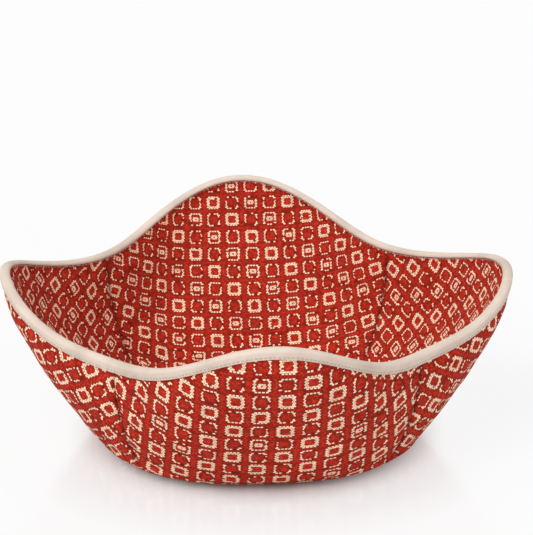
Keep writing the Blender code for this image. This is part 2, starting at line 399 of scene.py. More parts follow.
def smooth_step(share):
    """0 below 0, 1 above 1, and smooth between."""
    share = np.clip(share, 0.0, 1.0)
    return share * share * (3 - 2 * share)


def petal_columns(steps):
    """Azimuths of each petal's meridians from seam to seam, crowded towards both seams."""
    left = EIGHTH_TURN * (np.linspace(0.0, 1.0, steps + 1) ** COLUMN_CROWDING - 1)
    offsets = np.concatenate([left, -left[-2::-1]])
    return FRONT_AZIMUTH + 2 * EIGHTH_TURN * np.arange(PETALS)[:, None] + offsets


def rows_down(counts, top):
    """Distances down for a layer's rings: under the binding, its squeeze, wall, arc and base."""
    under, squeeze, wall, arc, base = counts

    def down_of(outside):
        full_loft = BINDING_OUTSIDE_WIDTH + RIM_SQUEEZE_LENGTH
        knots = [top, BINDING_OUTSIDE_WIDTH, full_loft, outside.arc_top, outside.arc_end]
        parts = []
        for count, start, end in zip((under, squeeze, wall, arc), knots, knots[1:]):
            parts.append(start + (end - start) * np.linspace(0.0, 1.0, count, endpoint=False))
        shares = np.linspace(0.0, 1.0, base + 1)
        parts.append(outside.arc_end + (outside.total - outside.arc_end) * shares)
        columns = len(outside.azimuth)
        return np.hstack([np.broadcast_to(part, (columns, part.shape[-1])) for part in parts])

    return down_of


def from_seam(outside, down):
    """Signed distance along the ring from the nearest dart seam."""
    angle = np.mod(outside.azimuth, 2 * EIGHTH_TURN) - EIGHTH_TURN
    return along_rows(outside.down, outside.radius, down) * angle


def wadding_loft(outside, down):
    """Thickness of one wadding: full in the wall, thin at the seams and under the binding."""
    fade = smooth_step((outside.arc_top - down) / RIM_SQUEEZE_LENGTH)
    pinch = np.exp(-((from_seam(outside, down) / SEAM_PINCH_WIDTH) ** 2)) * fade
    loft = WADDING_LOFT + (WADDING_LOFT_AT_SEAM - WADDING_LOFT) * pinch
    squeeze = smooth_step((down - BINDING_OUTSIDE_WIDTH) / RIM_SQUEEZE_LENGTH)
    return WADDING_LOFT_AT_RIM + (loft - WADDING_LOFT_AT_RIM) * squeeze


def cloth_depth(side, loft):
    """How far below the outside a layer's cloth has its free face: 0 outside, all layers inside."""
    return HALF_WALL + side * (LAYER_GAP / 2 + loft + LAYER_GAP + CLOTH_THICKNESS)


def relaxed_puff(side):
    """How far one cloth moves off its smooth shape when it is let go.

    A cloth simulation: the cloth is cut a little too large, is held along its dart seams, under
    the binding and on the base, and is pushed away from the wadding by its spring. It starts
    with shallow ripples, the product of a sine round the wall and one down it, which lead it
    to the same folds each time. The result is the move away from the wall's middle, limited
    with a hyperbolic tangent, on a grid of petals x meridians x rings.
    """
    azimuth = petal_columns(RELAXED_COLUMNS)
    petals, meridians = azimuth.shape

    def down_of(outside):
        return outside.total * np.linspace(0.0, 1.0, RELAXED_RINGS)

    outside, down, points, normals = outside_with_normals(azimuth.ravel(), down_of)
    points = points - cloth_depth(side, wadding_loft(outside, down))[..., None] * normals
    held = (down < BINDING_OUTSIDE_WIDTH) | (down > outside.arc_end)
    held = held | (np.abs(from_seam(outside, down)) < SEAM_GROOVE_WIDTH / 2)
    turns = 2 * math.pi * down / RIPPLE_LENGTH
    ripple = np.sin(RIPPLES_AROUND * outside.azimuth + 2.0 * np.sin(0.46 * turns + side))
    ripple = ripple * np.sin(turns + 1.7 * np.sin(5 * outside.azimuth - side))
    ripple = np.where(held, 0.0, RIPPLE_DEPTH * ripple)
    away = -side * normals
    grid_shape = (petals, meridians, RELAXED_RINGS)
    columns = petals * (meridians - 1)
    rings = RELAXED_RINGS - 1
    smooth, away, start, held = (
        values.reshape(grid_shape + (-1,))[:, :-1, :-1].reshape(columns * rings, -1)
        for values in (points, away, points + ripple[..., None] * away, held)
    )
    column, ring = np.meshgrid(np.arange(columns), np.arange(rings - 1), indexing="ij")
    after = (column + 1) % columns
    corners = [column * rings + ring, column * rings + ring + 1]
    corners += [after * rings + ring + 1, after * rings + ring]
    faces = np.stack(corners, -1).reshape(-1, 4)[:, :: -side]
    mesh = bpy.data.meshes.new("relaxing_cloth")
    mesh.from_pydata(start.tolist(), [], faces.tolist())
    piece = bpy.data.objects.new("relaxing_cloth", mesh)
    scene = bpy.context.scene
    scene.collection.objects.link(piece)
    seams = piece.vertex_groups.new(name="held")
    seams.add(np.nonzero(held[:, 0])[0].tolist(), 1.0, "REPLACE")
    cloth = piece.modifiers.new("cloth", "CLOTH")
    cloth.collision_settings.use_collision = False
    settings = cloth.settings
    settings.vertex_group_mass = "held"
    settings.quality = RELAXING_QUALITY
    settings.tension_stiffness = settings.compression_stiffness = CLOTH_STIFFNESS
    settings.shear_stiffness = CLOTH_STIFFNESS / 3
    settings.bending_stiffness = CLOTH_STIFFNESS / 10
    settings.tension_damping = settings.compression_damping = CLOTH_DAMPING
    settings.shear_damping = CLOTH_DAMPING
    settings.air_damping = AIR_DAMPING
    settings.shrink_min = -CLOTH_EXCESS
    settings.use_pressure = True
    settings.uniform_pressure_force = WADDING_PRESSURE
    settings.effector_weights.gravity = 0.0
    for step in range(1, RELAXED_FRAMES + 1):
        scene.frame_set(step)
    relaxed = np.empty(smooth.size, np.float32)
    evaluated = piece.evaluated_get(bpy.context.evaluated_depsgraph_get())
    evaluated.data.vertices.foreach_get("co", relaxed)
    moved = ((relaxed.reshape(-1, 3) - smooth) * away).sum(-1)
    bpy.data.objects.remove(piece)
    scene.frame_set(1)
    moved = np.where(held[:, 0], 0.0, PUFF_LIMIT * np.tanh(moved / PUFF_LIMIT))
    puff = np.zeros(grid_shape)
    puff[:, :-1, :-1] = moved.reshape(petals, meridians - 1, rings)
    return puff


def sampled(grid, meridian_place, ring_place):
    """A smooth surface through a grid's values, read at places counted in meridians and rings.

    Each value is the sum of its 4 x 4 neighbours, with the weights of a cubic curve that runs
    through its points and has the slope of the line between each point's two neighbours.
    """

    def weights(place, count):
        start = np.clip(np.floor(place), 0, count - 2).astype(int)
        share = place - start
        cubes = (
            (-(share**3) + 2 * share**2 - share) / 2,
            (3 * share**3 - 5 * share**2 + 2) / 2,
            (-3 * share**3 + 4 * share**2 + share) / 2,
            (share**3 - share**2) / 2,
        )
        return [
            (np.clip(start + step, 0, count - 1), cube) for step, cube in zip(range(-1, 3), cubes)
        ]

    petal = np.arange(len(grid))[:, None, None]
    meridian_weights = weights(meridian_place, grid.shape[1])
    ring_weights = weights(ring_place, grid.shape[2])
    return sum(
        by_meridian * by_ring * grid[petal, meridian, ring]
        for meridian, by_meridian in meridian_weights
        for ring, by_ring in ring_weights
    )


def softness(outside, down, side, columns, loft, puff):
    """How far the sewn cloth sinks below the smooth wall.

    A groove that falls off exponentially from each dart seam, and short puckers across the seam
    that are a sine along it, less the relaxed cloth's puff. All of it fades out under the
    binding and on the flat base, and it never presses the wadding quite flat.
    """
    away = np.abs(from_seam(outside, down))
    above_base = (outside.arc_top + SOFTNESS_FADE_START - down) / SOFTNESS_FADE_LENGTH
    below_rim = smooth_step((down - BINDING_OUTSIDE_WIDTH) / RIM_SQUEEZE_LENGTH)
    groove = SEAM_GROOVE_DEPTH * np.exp(-away / SEAM_GROOVE_WIDTH)
    along = 2 * math.pi * down / PUCKER_LENGTH
    seam_phase = 1.7 * np.round(outside.azimuth / (2 * EIGHTH_TURN) - 0.5) + side
    near = (away / PUCKER_REACH) ** 2 * np.exp(1 - (away / PUCKER_REACH) ** 2)
    pucker = PUCKER_DEPTH * np.sin(along + 1.3 * np.sin(0.37 * along) + seam_phase) * near
    by_petal = (PETALS, 2 * columns + 1, -1)
    meridian_place = np.arange(2 * columns + 1)[None, :, None] * RELAXED_COLUMNS / columns
    ring_place = (down / outside.total * (RELAXED_RINGS - 1)).reshape(by_petal)
    stand_off = sampled(puff, meridian_place, ring_place).reshape(down.shape)
    sink = (groove + pucker - stand_off) * smooth_step(above_base) * below_rim
    return np.minimum(sink, SINK_LIMIT_OF_LOFT * loft)


def layer_face(face, side, columns, rows, puff):
    """One face of a layer: its points, their places on the flat cloth, and how near a seam's
    crease, where shade is painted.

    The face is the outside moved inwards by a depth that adds up the layers outside it. Each
    petal has its own set of meridians, so an array is petals x meridians x rings. "out" names
    the face away from the wall's middle, and "in" the face towards it.
    """
    azimuth = petal_columns(columns)
    outside, down, points, normals = outside_with_normals(azimuth.ravel(), rows)
    if face == "wadding_in":
        depth = np.full_like(down, HALF_WALL + side * LAYER_GAP / 2)
    else:
        loft = wadding_loft(outside, down)
        below_free_face = {
            "cloth_out": 0.0,
            "cloth_in": CLOTH_THICKNESS,
            "wadding_out": CLOTH_THICKNESS + LAYER_GAP,
        }[face]
        sink = softness(outside, down, side, columns, loft, puff)
        depth = cloth_depth(side, loft) - side * (below_free_face + sink)
    face_points = points - depth[..., None] * normals
    # Nearness to a dart seam, which sets the painted shade along its crease, uneven along the seam
    # with the puckers.
    uneven = 0.75 + 0.25 * np.sin(2 * math.pi * down / PUCKER_LENGTH + side)
    fold_shade = uneven * np.exp(-np.abs(from_seam(outside, down)) / FOLD_SHADE_WIDTH)
    fold_shade = fold_shade * smooth_step((outside.arc_top + FOLD_SHADE_FADE_START - down) / FOLD_SHADE_FADE_LENGTH)
    shape = azimuth.shape + (down.shape[1],)
    places = cloth_places(azimuth, outside, down)
    return face_points.reshape(shape + (3,)), places.reshape(shape + (2,)), fold_shade.reshape(shape)


def cloth_places(azimuth, outside, down):
    """Place of each point on the flat square, before the darts were sewn.

    A point's distance from the square's middle is its distance from the base's middle along the
    cloth. Its angle from the petal's line is the length of the ring between them over that
    distance, so the wedges that the darts take up are left out.
    """
    rings = 200
    reach = outside.total.max() * np.linspace(1 / rings, 1.0, rings)[None, :]
    on_ring = outside.place(np.clip(outside.total - reach, 0.0, None))
    on_ring = on_ring.reshape(azimuth.shape + on_ring.shape[1:])
    steps = np.linalg.norm(np.diff(on_ring, axis=1), axis=-1)
    lengths = np.concatenate([np.zeros_like(steps[:, :1]), np.cumsum(steps, axis=1)], axis=1)
    lengths -= lengths[:, azimuth.shape[1] // 2, None]
    angles = (lengths / reach).reshape(-1, rings)
    wanted = outside.total - down
    reach_rows = np.broadcast_to(reach, angles.shape)
    angle = along_rows(reach_rows, angles, wanted)
    petal_line = FRONT_AZIMUTH + 2 * EIGHTH_TURN * np.arange(PETALS)
    heading = np.repeat(petal_line, azimuth.shape[1])[:, None] + angle
    return np.stack([wanted * np.cos(heading), wanted * np.sin(heading)], axis=-1)


def new_piece(name, points, faces, places, material):
    """An object from points, faces, and each face corner's place on the cloth or tape."""
    mesh = bpy.data.meshes.new(name)
    mesh.from_pydata(points.tolist(), [], faces)
    layer = mesh.uv_layers.new(name="cloth")
    layer.data.foreach_set("uv", places.astype(np.float32).ravel())
    mesh.shade_smooth()
    mesh.materials.append(material)
    piece = bpy.data.objects.new(name, mesh)
    bpy.context.scene.collection.objects.link(piece)
    return piece


def closed_bag(name, points, places, fold_shade, material):
    """A closed piece from a grid of petals x meridians x rings, whose end rings are points.

    A seam's meridian belongs to two petals and is one column of points, but each petal keeps
    its own places on the cloth there. The nearness to a seam's crease, where shade is painted,
    is kept with each point.
    """
    petals, meridians, rings, _ = points.shape
    columns = petals * (meridians - 1)
    inner_rings = rings - 2
    bottom = columns * inner_rings
    vertices = np.concatenate(
        [points[:, :-1, 1:-1].reshape(-1, 3), points[0, 0, :1], points[0, 0, -1:]]
    )
    petal, step, ring = np.meshgrid(
        np.arange(petals), np.arange(meridians - 1), np.arange(rings - 1), indexing="ij"
    )
    corners = []
    corner_places = []
    for next_step, next_ring in ((0, 0), (1, 0), (1, 1), (0, 1)):
        column = (petal * (meridians - 1) + step + next_step) % columns
        row = ring + next_ring
        index = column * inner_rings + row - 1
        index = np.where(row == 0, bottom, np.where(row == rings - 1, bottom + 1, index))
        corners.append(index)
        corner_places.append(places[petal, step + next_step, row])
    corners = np.stack(corners, -1)
    corner_places = np.stack(corner_places, -2)
    middle = np.s_[:, :, 1:-1]
    first = (np.s_[:, :, 0], [0, 2, 3])
    last = (np.s_[:, :, -1], [0, 1, 2])
    faces = corners[middle].reshape(-1, 4).tolist()
    face_places = [corner_places[middle].reshape(-1, 2)]
    for end, kept in (first, last):
        faces += corners[end][..., kept].reshape(-1, 3).tolist()
        face_places.append(corner_places[end][..., kept, :].reshape(-1, 2))
    piece = new_piece(name, vertices, faces, np.concatenate(face_places), material)
    point_fold_shade = np.concatenate([fold_shade[:, :-1, 1:-1].ravel(), [0.0, 0.0]])
    piece.data.attributes.new("fold_shade", "FLOAT", "POINT").data.foreach_set(
        "value", point_fold_shade.astype(np.float32)
    )
    return piece


def sewn_layer(name, faces, side, columns, row_counts, material, puff, mirrored=1.0):
    """A layer of the wall: its outer face from the base's middle up to the rim, then its inner
    face back down, so that both faces and the cut edge are one closed surface."""
    top = CLOTH_EDGE_DOWN
    outer = layer_face(faces[0], side, columns, rows_down(row_counts[0], top), puff)
    inner = layer_face(faces[1], side, columns, rows_down(row_counts[1], top), puff)
    points, places, fold_shade = (
        np.concatenate([up[:, :, ::-1], down], axis=2) for up, down in zip(outer, inner)
    )
    return closed_bag(name, points, places * (1.0, mirrored), fold_shade, material)


# The print: rows of small woven squares in cream on brick red, of four kinds that take turns
# along every row and column. Each square is made of short floats of yarn, laid like bricks, with
# floats of twice the length along its top and bottom.

FLOATS_ACROSS = 14
COVER_FLOATS_DOWN = 11
LINING_FLOATS_DOWN = 12
ROW_TO_COLUMN = 0.915
FLOAT_ROW_STEP = 0.083
SQUARE_HALF = 0.34
THICK_RING_HOLE = (0.20, 0.21)
THIN_RING_HOLE = (0.27, 0.30)
FLOWER_RING_HOLE = (0.22, 0.25)
FLOWER_DOTS_RADIUS = 0.11
FLOWER_DOTS_WIDTH = 0.04
HOLE_CORNER_CUT = 1.75
THICK_RING_MISSING = 0.04
DASHED_RING_MISSING = 0.22
FLOWER_RING_MISSING = 0.12
HOOKS_MISSING = 0.07
EDGE_FLOAT_SHARE = 0.8
PRINT_RED = (0.44, 0.028, 0.014, 1.0)
# Dark red of the painted shade beside the squares.
PAINTED_SHADE_RED = (0.11, 0.004, 0.002, 1.0)
PRINT_CREAM = (0.99, 0.71, 0.50, 1.0)
WARP_SCALE = 60.0
WARP_REACH = 0.0012
COVER_COLUMN_PITCH = 0.0105
LINING_COLUMN_PITCH = 0.0089
COVER_FLOWER_SHARE = 0.35
LINING_FLOWER_SHARE = 1.0

# How far the painted shade beside the squares goes towards the dark red.
PAINTED_SHADE_SHARE_BY_RING = 0.72
GROUND_TONES = (0.70, 1.40)
CREAM_TONES = (0.88, 1.06)
CLOUDY_TONES = (0.85, 1.15)
MOTTLED_TONES = (0.55, 1.45)
FIBRE_TONES = (0.87, 1.17)
# Painted shade in the hollows between floats, and painted light on their tops.
HOLLOW_SHADE_AND_TOP_LIGHT_TONES = (0.70, 1.16)
# Painted shade along the dart seams' creases.
FOLD_SHADE_TONES = (1.0, 0.15)
COTTON_ROUGHNESS = (0.78, 0.94)


def new_group(name, inlets, outlets):
    """A shader group with sockets of the named kinds, and its inlet and outlet nodes."""
    group = bpy.data.node_groups.new(name, "ShaderNodeTree")
    for in_out, sockets in (("INPUT", inlets), ("OUTPUT", outlets)):
        for socket, kind in sockets.items():
            group.interface.new_socket(
                name=socket, in_out=in_out, socket_type="NodeSocket" + kind
            )
    return group, group.nodes.new("NodeGroupInput").outputs, group.nodes.new("NodeGroupOutput")


def ring_squares_group():
    """Where the woven squares are cream, how the yarn rises, and where shade is painted beside
    them.

    The place on the cloth is cut into floats, every other row set over by half a float. A float
    is cream if its middle lies on its square's ring. The ring is what a hole leaves of the
    square; a hole is a rectangle with its corners cut off. The kind, row minus column in steps of
    four, says how wide the hole is, which gaps the ring has, how many floats are missing at
    random and whether a small ring of dots fills the hole. Float rows are counted from the
    square's middle row, so that every square is even above and below it.
    """
    group, inlet, outlet = new_group(
        "woven_ring_squares",
        {
            "Place": "Vector",
            "Column pitch": "Float",
            "Floats down": "Float",
            "Flower share": "Float",
        },
        {"Cream": "Float", "Rise": "Float", "Shade": "Float", "Chance": "Float"},
    )

    def make(operation, *values, **flags):
        return calculate(group, operation, *values, **flags)

    def both(first, *others):
        for other in others:
            first = make("MULTIPLY", first, other)
        return first

    def either(first, *others):
        for other in others:
            first = make("MAXIMUM", first, other)
        return first

    def without(first, second):
        return make("MULTIPLY", first, make("SUBTRACT", 1.0, second))

    def near(value, middle, half_width):
        return make("LESS_THAN", make("ABSOLUTE", make("SUBTRACT", value, middle)), half_width)

    def over(value, limit):
        return make("GREATER_THAN", value, limit)

    def chance_of(first, second):
        pair = add_node(group, "ShaderNodeCombineXYZ", {0: first, 1: second}).outputs[0]
        return add_node(
            group, "ShaderNodeTexWhiteNoise", {"Vector": pair}, noise_dimensions="2D"
        ).outputs["Value"]

    wander = add_node(
        group, "ShaderNodeTexNoise", {"Vector": inlet["Place"], "Scale": WARP_SCALE, "Detail": 2.0}
    ).outputs["Color"]
    wander = add_node(
        group, "ShaderNodeVectorMath", {0: wander, 1: (0.5, 0.5, 0.5)}, operation="SUBTRACT"
    ).outputs[0]
    wandered = add_node(
        group,
        "ShaderNodeVectorMath",
        {0: wander, 1: (WARP_REACH, WARP_REACH, 0.0), 2: inlet["Place"]},
        operation="MULTIPLY_ADD",
    ).outputs[0]
    place = add_node(group, "ShaderNodeSeparateXYZ", {0: wandered}).outputs
    across = make("DIVIDE", place["X"], inlet["Column pitch"])
    row_pitch = make("MULTIPLY", inlet["Column pitch"], ROW_TO_COLUMN)
    along = make("DIVIDE", place["Y"], row_pitch)

    floats_down = inlet["Floats down"]
    float_row_place = make("MULTIPLY", along, floats_down)
    float_row = make("FLOOR", float_row_place)
    row = make("FLOOR", make("DIVIDE", make("ADD", float_row, 0.5), floats_down))
    middle_row = make("FLOOR", make("DIVIDE", floats_down, 2.0))
    in_square = make("SUBTRACT", float_row, make("MULTIPLY", row, floats_down))
    steps = make("SUBTRACT", in_square, middle_row)
    steps_away = make("ABSOLUTE", steps)
    floats_across = make("MULTIPLY_ADD", over(steps_away, 2.5), -FLOATS_ACROSS / 2, FLOATS_ACROSS)
    set_over = make("MULTIPLY", make("FLOORED_MODULO", make("ADD", steps_away, 1.0), 2.0), 0.5)
    float_column_place = make("MULTIPLY_ADD", across, floats_across, set_over)
    float_column = make("FLOOR", float_column_place)
    in_float_x = make("SUBTRACT", make("SUBTRACT", float_column_place, float_column), 0.5)
    in_float_y = make("SUBTRACT", make("SUBTRACT", float_row_place, float_row), 0.5)
    chance = chance_of(float_column, float_row)
    middle_x = make(
        "DIVIDE", make("SUBTRACT", make("ADD", float_column, 0.5), set_over), floats_across
    )

    column = make("FLOOR", middle_x)
    kind = make("FLOORED_MODULO", make("SUBTRACT", row, column), 4.0)
    has_flower = make("LESS_THAN", chance_of(row, column), inlet["Flower share"])
    x = make("SUBTRACT", make("SUBTRACT", middle_x, column), 0.5)
    y = make("MULTIPLY", steps, FLOAT_ROW_STEP)
    from_x = make("ABSOLUTE", x)
    from_y = make("ABSOLUTE", y)
    square = both(make("LESS_THAN", from_x, SQUARE_HALF), make("LESS_THAN", from_y, SQUARE_HALF))

    def ring_round(hole):
        share_x = make("DIVIDE", from_x, hole[0])
        share_y = make("DIVIDE", from_y, hole[1])
        corner = over(make("ADD", share_x, share_y), HOLE_CORNER_CUT)
        return either(over(share_x, 1.0), over(share_y, 1.0), corner)

    thick = both(ring_round(THICK_RING_HOLE), over(chance, THICK_RING_MISSING))
    thin = ring_round(THIN_RING_HOLE)
    dashed = both(thin, over(chance, DASHED_RING_MISSING))
    from_middle = make(
        "SQRT", make("ADD", make("POWER", from_x, 2.0), make("POWER", from_y, 2.0))
    )
    flower = either(
        both(ring_round(FLOWER_RING_HOLE), over(chance, FLOWER_RING_MISSING)),
        near(from_middle, FLOWER_DOTS_RADIUS, FLOWER_DOTS_WIDTH),
    )
    gap_above = both(near(x, -0.03, 0.08), make("LESS_THAN", y, 0.0))
    gap_below = both(near(x, 0.07, 0.10), over(y, 0.0))
    gap_right = both(near(y, 0.04, 0.10), over(x, 0.0))
    gaps = either(gap_above, gap_below, gap_right)
    hooks = without(both(thin, over(chance, HOOKS_MISSING)), gaps)
    is_flower = both(near(kind, 2.0, 0.5), has_flower)
    is_thick = either(near(kind, 0.0, 0.5), without(near(kind, 2.0, 0.5), has_flower))
    ring = either(
        both(thick, is_thick),
        both(dashed, near(kind, 1.0, 0.5)),
        both(flower, is_flower),
        both(hooks, near(kind, 3.0, 0.5)),
    )
    cream = both(square, ring)

    edge_squeeze = make("MULTIPLY_ADD", over(steps_away, 3.5), 2.0 / EDGE_FLOAT_SHARE - 2.0, 2.0)
    oval = make(
        "ADD",
        make("POWER", make("MULTIPLY", make("ABSOLUTE", in_float_x), edge_squeeze), 4.0),
        make("POWER", make("MULTIPLY", make("ABSOLUTE", in_float_y), 2.0), 2.0),
    )
    shape = add_node(
        group,
        "ShaderNodeMapRange",
        {"Value": oval, "From Min": 1.3, "From Max": 0.7},
        interpolation_type="SMOOTHSTEP",
    ).outputs[0]
    rise = make("SUBTRACT", 1.0, make("MULTIPLY", oval, 0.6), clamp=True)
    # Painted shade: the red floats near each square's ring are darkened, more or less at random, as
    # the raised cream floats would shade them.
    reach = make("MAXIMUM", from_x, make("MULTIPLY", from_y, 0.95))
    beside_ring = make(
        "SUBTRACT",
        1.0,
        make("DIVIDE", make("ABSOLUTE", make("SUBTRACT", reach, 0.30)), 0.15),
        clamp=True,
    )
    shade = both(beside_ring, make("ADD", 0.45, chance))
    links = {"Cream": both(cream, shape), "Rise": rise, "Shade": shade, "Chance": chance}
    for socket, value in links.items():
        group.links.new(value, outlet.inputs[socket])
    return group


def printed_cotton(name, squares, column_pitch, floats_down, flower_share):
    """Brick red cotton with cream woven squares, uneven from float to float, matte and soft, with
    painted shade beside the squares, in the hollows and along the seams' creases, and painted light
    on the float tops.
    """
    material = bpy.data.materials.new(name)
    material.use_nodes = True
    tree = material.node_tree
    shader = tree.nodes["Principled BSDF"]

    def make(operation, *values, **flags):
        return calculate(tree, operation, *values, **flags)

    def noise(scale, detail):
        sockets = {"Vector": where, "Scale": scale, "Detail": detail}
        return add_node(tree, "ShaderNodeTexNoise", sockets).outputs["Fac"]

    def between(value, ends):
        return make("MULTIPLY_ADD", value, ends[1] - ends[0], ends[0])

    def blend(factor, first, second):
        sockets = {"Factor": factor, "A": first, "B": second}
        return add_node(tree, "ShaderNodeMix", sockets, data_type="RGBA").outputs["Result"]

    def scaled(colour, factor):
        sockets = {0: colour, "Scale": factor}
        return add_node(tree, "ShaderNodeVectorMath", sockets, operation="SCALE").outputs["Vector"]

    place = add_node(tree, "ShaderNodeUVMap", uv_map="cloth").outputs[0]
    print_node = add_node(
        tree,
        "ShaderNodeGroup",
        {
            "Place": place,
            "Column pitch": column_pitch,
            "Floats down": floats_down,
            "Flower share": flower_share,
        },
        node_tree=squares,
    )
    where = add_node(tree, "ShaderNodeTexCoord").outputs["Object"]
    cloudy = noise(34.0, 3.0)
    mottled = noise(620.0, 1.0)
    fibres = noise(2600.0, 2.0)
    chance = print_node.outputs["Chance"]
    # Nearness to a dart seam's crease, where shade is painted.
    fold_shade = add_node(tree, "ShaderNodeAttribute", attribute_name="fold_shade").outputs["Fac"]
    # Painted shade: beside the squares the ground goes towards the dark red.
    painted_shade = make("MULTIPLY", print_node.outputs["Shade"], PAINTED_SHADE_SHARE_BY_RING, clamp=True)
    ground = scaled(blend(painted_shade, PRINT_RED, PAINTED_SHADE_RED), between(chance, GROUND_TONES))
    cream = scaled(PRINT_CREAM[:3], between(chance, CREAM_TONES))
    mixed = blend(print_node.outputs["Cream"], ground, cream)
    # Tone: random clouds, mottling and fibres, times painted shade in the hollows between floats
    # with painted light on their tops, and painted shade along the seams' creases.
    tone_and_painted_shade = between(cloudy, CLOUDY_TONES)
    for value, tones in (
        (mottled, MOTTLED_TONES),
        (fibres, FIBRE_TONES),
        (print_node.outputs["Rise"], HOLLOW_SHADE_AND_TOP_LIGHT_TONES),
        (fold_shade, FOLD_SHADE_TONES),
    ):
        tone_and_painted_shade = make("MULTIPLY", tone_and_painted_shade, between(value, tones))
    tree.links.new(scaled(mixed, tone_and_painted_shade), shader.inputs["Base Color"])
    tree.links.new(between(fibres, COTTON_ROUGHNESS), shader.inputs["Roughness"])
    height = make("MULTIPLY_ADD", fibres, 0.35, print_node.outputs["Rise"])
    bump = add_node(
        tree, "ShaderNodeBump", {"Height": height, "Strength": 0.7, "Distance": 0.00022}
    )
    tree.links.new(bump.outputs[0], shader.inputs["Normal"])
    shader.inputs["Specular IOR Level"].default_value = 0.04
    shader.inputs["Sheen Weight"].default_value = 0.015
    shader.inputs["Sheen Roughness"].default_value = 0.5
    return material


LAYER_COLUMNS = 48
OUTER_ROWS = (3, 8, 54, 14, 14)
HIDDEN_ROWS = (2, 5, 18, 6, 5)
TAPE_THICKNESS = 0.0005
BINDING_ROUNDING = 0.0016
HALF_STACK = CLOTH_THICKNESS + 1.5 * LAYER_GAP + WADDING_LOFT_AT_RIM
CLOTH_EDGE_DOWN = (
    TAPE_THICKNESS
    + (BINDING_ROUNDING - TAPE_THICKNESS)
    * (1 - math.sqrt(1 - (HALF_STACK / (HALF_STACK + LAYER_GAP)) ** 2))
    + LAYER_GAP
)

ring_squares = ring_squares_group()
cover_cotton = printed_cotton(
    "printed_cotton_cover",
    ring_squares,
    COVER_COLUMN_PITCH,
    COVER_FLOATS_DOWN,
    COVER_FLOWER_SHARE,
)
cover_puff = relaxed_puff(-1)
cover = sewn_layer(
    "outer_cover_cotton",
    ("cloth_out", "cloth_in"),
    -1,
    LAYER_COLUMNS,
    (OUTER_ROWS, HIDDEN_ROWS),
    cover_cotton,
    cover_puff,
)
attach(cover, "root")
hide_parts("outer_cover")


# Outer wadding
# A loose white cotton batt of the same cut, quilted to the back of the outer cover. The darts and
# the binding press it thin, and both cloths hide it.

BATT_COLUMNS = 30
BATT_ROWS = (2, 5, 24, 8, 7)
BATT_WHITE = (0.84, 0.82, 0.77, 1.0)
BATT_SHADE = (0.70, 0.68, 0.63, 1.0)


def cotton_batt(name):
    """Loose fibres that cross each other in all directions, off white and quite matte."""
    material = bpy.data.materials.new(name)
    material.use_nodes = True
    tree = material.node_tree
    shader = tree.nodes["Principled BSDF"]
    where = add_node(tree, "ShaderNodeTexCoord").outputs["Object"]
    tangle = add_node(
        tree,
        "ShaderNodeTexNoise",
        {"Vector": where, "Scale": 900.0, "Detail": 4.0, "Distortion": 1.6},
    ).outputs["Fac"]
    colour = add_node(
        tree,
        "ShaderNodeMix",
        {"Factor": tangle, "A": BATT_SHADE, "B": BATT_WHITE},
        data_type="RGBA",
    ).outputs["Result"]
    tree.links.new(colour, shader.inputs["Base Color"])
    bump = add_node(
        tree, "ShaderNodeBump", {"Height": tangle, "Strength": 0.8, "Distance": 0.0004}
    )
    tree.links.new(bump.outputs[0], shader.inputs["Normal"])
    shader.inputs["Roughness"].default_value = 0.95
    shader.inputs["Specular IOR Level"].default_value = 0.1
    return material


batt_cotton = cotton_batt("cotton_wadding")
outer_batt = sewn_layer(
    "outer_wadding_batt",
    ("wadding_out", "wadding_in"),
    -1,
    BATT_COLUMNS,
    (BATT_ROWS, BATT_ROWS),
    batt_cotton,
    cover_puff,
)
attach(outer_batt, "root")
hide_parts("outer_wadding")


# Lining wadding
# A second batt of the same cut, quilted to the back of the lining. It lies loose against the
# first one, and the two together keep the heat of the bowl from the hands.

lining_puff = relaxed_puff(1)
lining_batt = sewn_layer(
    "lining_wadding_batt",
    ("wadding_in", "wadding_out"),
    1,
    BATT_COLUMNS,
    (BATT_ROWS, BATT_ROWS),
    batt_cotton,
    lining_puff,
)
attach(lining_batt, "root")
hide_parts("lining_wadding")


# Lining
# The square of printed cotton inside, sewn with the same four darts. Its print is a little
# smaller, and its seams show as narrow folds that run from the rim's valleys to the base, with
# painted shade along their creases.

lining_cotton = printed_cotton(
    "printed_cotton_lining",
    ring_squares,
    LINING_COLUMN_PITCH,
    LINING_FLOATS_DOWN,
    LINING_FLOWER_SHARE,
)
lining = sewn_layer(
    "lining_cotton",
    ("cloth_in", "cloth_out"),
    1,
    LAYER_COLUMNS,
    (HIDDEN_ROWS, OUTER_ROWS),
    lining_cotton,
    lining_puff,
    mirrored=-1.0,
)
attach(lining, "root")
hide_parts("lining")


# Edge binding
# A cream woven cotton tape, folded over the edge of all four layers. Its wide leg lies outside
# and its narrow leg inside, and one line of stitches through everything holds both.

BINDING_INSIDE_WIDTH = 0.0022
STITCH_LINE_DOWN = 0.0039
STITCH_PITCH = 0.0019
COLUMNS_PER_STITCH = 4
HALF_BINDING = HALF_STACK + LAYER_GAP + TAPE_THICKNESS
TAPE_CREAM = (0.86, 0.71, 0.60, 1.0)
# The tape's darker colour: random tone, and painted shade in the weave's hollows.
TAPE_DARK_TONE_AND_WEAVE_SHADE = (0.60, 0.48, 0.39, 1.0)
STITCH_GROOVE_DEPTH = 0.00016
STITCH_GROOVE_WIDTH = 0.00042
TAPE_PUFF = 0.00012
TAPE_WRINKLE = 0.00010
WRINKLES_ROUND = 124
WRINKLE_SLANT = 0.006
TAPE_EDGE_ROUNDING = 0.35 * TAPE_THICKNESS
INNER_LEG_MIDDLE = 0.0035
TAPE_YARN_PITCH = 0.00042


